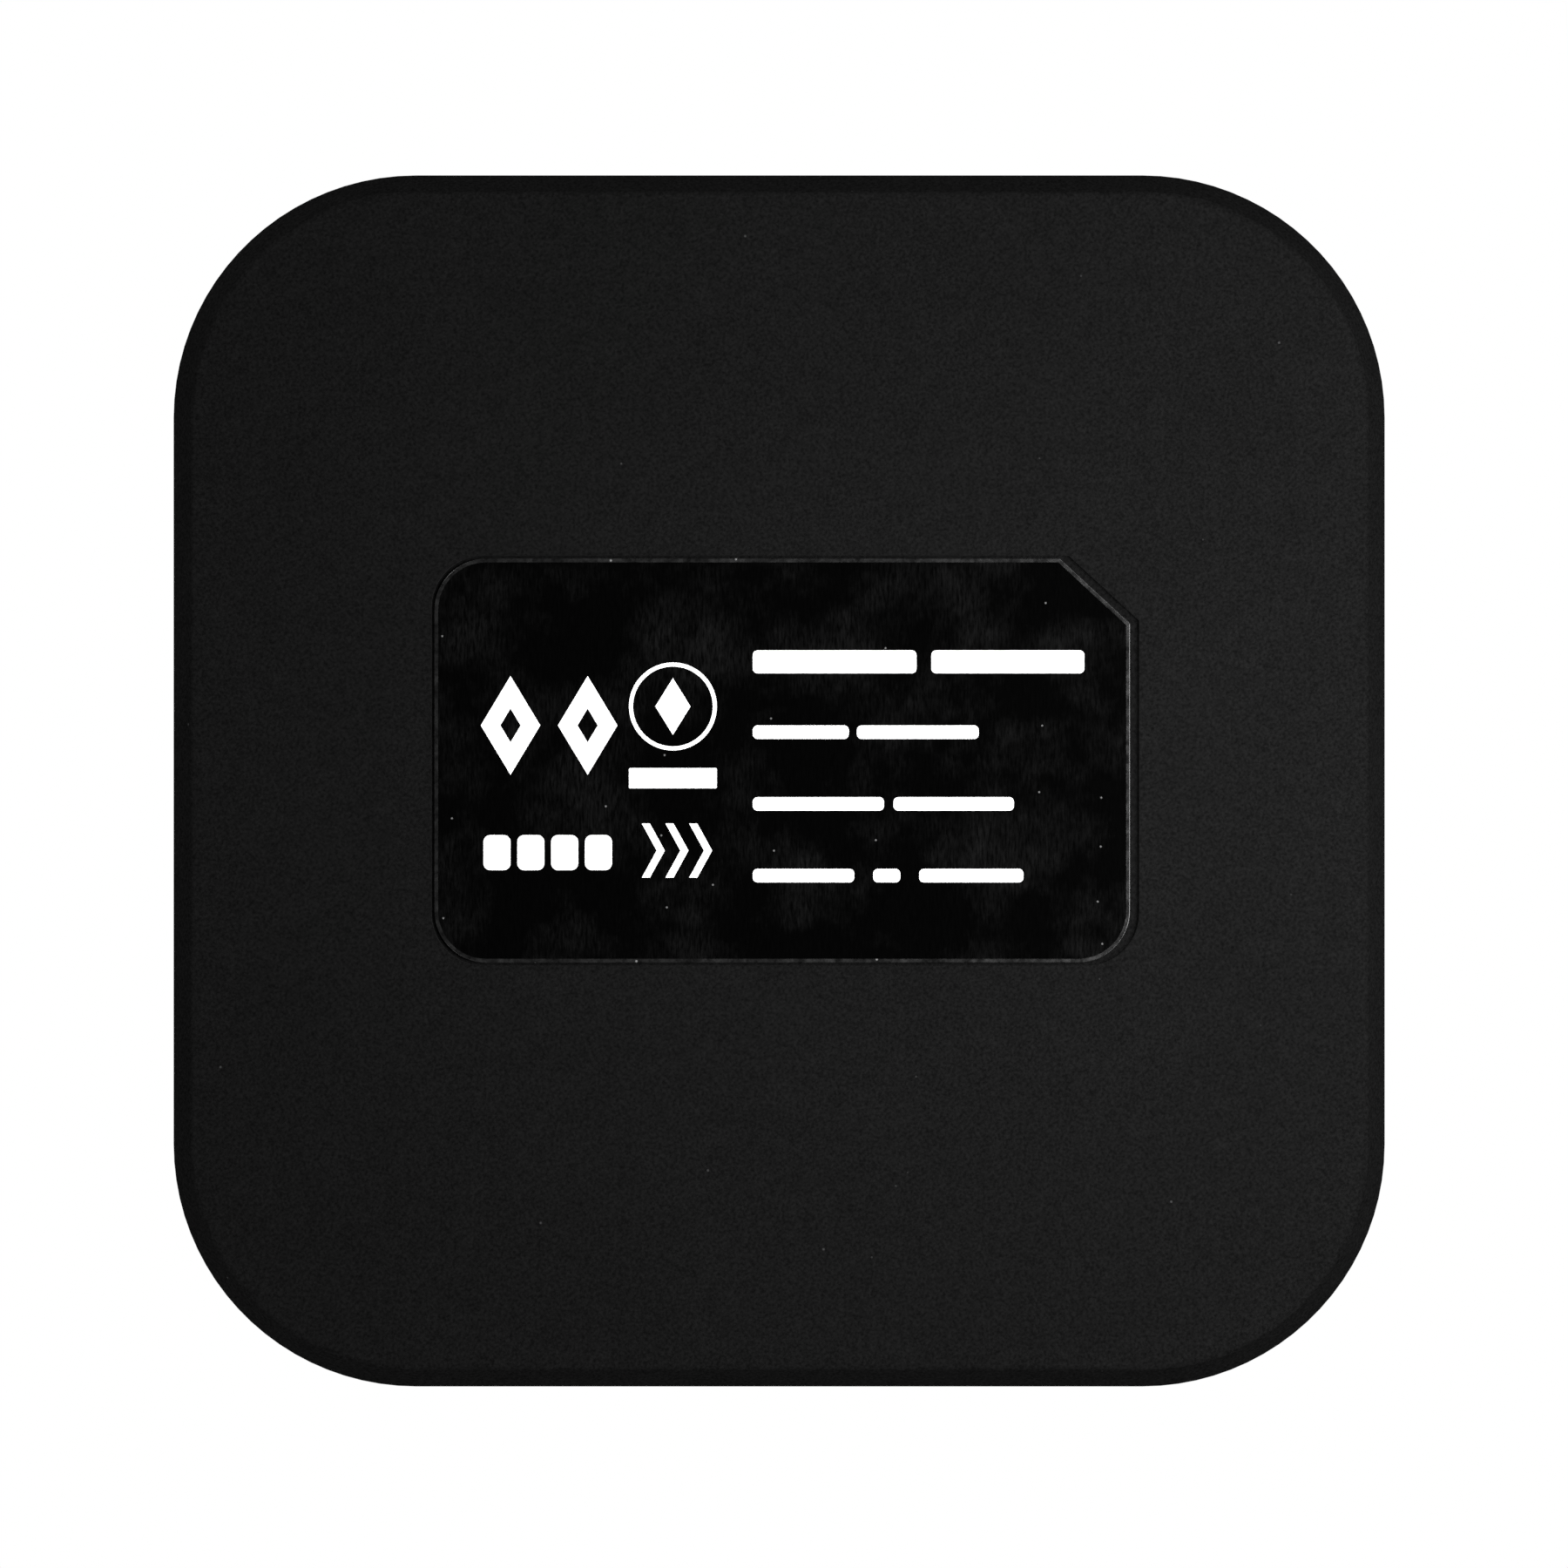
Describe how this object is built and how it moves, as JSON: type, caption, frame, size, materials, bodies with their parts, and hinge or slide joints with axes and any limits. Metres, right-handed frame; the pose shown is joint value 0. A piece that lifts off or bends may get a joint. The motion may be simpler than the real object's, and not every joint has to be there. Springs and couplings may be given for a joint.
{
  "type": "wireless charging pad",
  "caption": "Square black charging pad with round corners, flat base with a label recess, silicone ring on top and a power inlet in the back edge.",
  "frame": {"origin": "centre of the base, on the desk surface", "axes": "+Z out of the charging face, +Y towards the edge with the power inlet, +X to the right seen from the front"},
  "size_m": [0.09, 0.09, 0.009],
  "materials": {
    "shell_plastic": "fine matt moulded grain",
    "base_coating": "soft matt coating with a fine grain",
    "label_film": "glossy film with faint smears",
    "silicone": "matt silicone",
    "clear_plastic": "frosted clear plastic",
    "lamp_resin": "phosphor resin",
    "board_laminate": "green solder mask",
    "screw_steel": "zinc plated",
    "inlet_steel": "tinned sheet",
    "inlet_plastic": "moulded insulator",
    "contact_gold": "gold flashed",
    "copper_wire": "enamelled stranded copper",
    "ferrite": "sintered, slightly rough",
    "adhesive_tape": "amber film",
    "foam": "open-cell foam",
    "chip_epoxy": "moulded epoxy",
    "tinned_metal": "bright tin",
    "capacitor_ceramic": "sintered, matt",
    "resistor_ceramic": "glazed black face",
    "choke_ferrite": "matt ferrite",
    "thermistor_epoxy": "dipped resin bead",
    "solder": "bright solder"
  },
  "bodies": {
    "root": {"top_cover": "shell_plastic", "base_cover": "base_coating", "rating_label": "label_film", "grip_ring": "silicone", "light_guide": "clear_plastic", "status_led": "lamp_resin", "circuit_board": "board_laminate", "board_screws": "screw_steel", "usb_shell": "inlet_steel", "usb_tongue": "inlet_plastic", "usb_contacts": "contact_gold", "transmit_coil": "copper_wire", "ferrite_shield": "ferrite", "coil_tape": "adhesive_tape", "foam_pads": "foam", "controller_chip": "chip_epoxy", "bridge_transistors": "chip_epoxy", "voltage_regulator": "chip_epoxy", "chip_leads": "tinned_metal", "resonant_capacitors": "capacitor_ceramic", "input_capacitors": "capacitor_ceramic", "input_choke": "choke_ferrite", "sense_resistor": "resistor_ceramic", "small_capacitors": "capacitor_ceramic", "small_resistors": "resistor_ceramic", "end_caps": "tinned_metal", "temperature_sensor": "thermistor_epoxy", "solder_joints": "solder"}
  },
  "joints": []
}
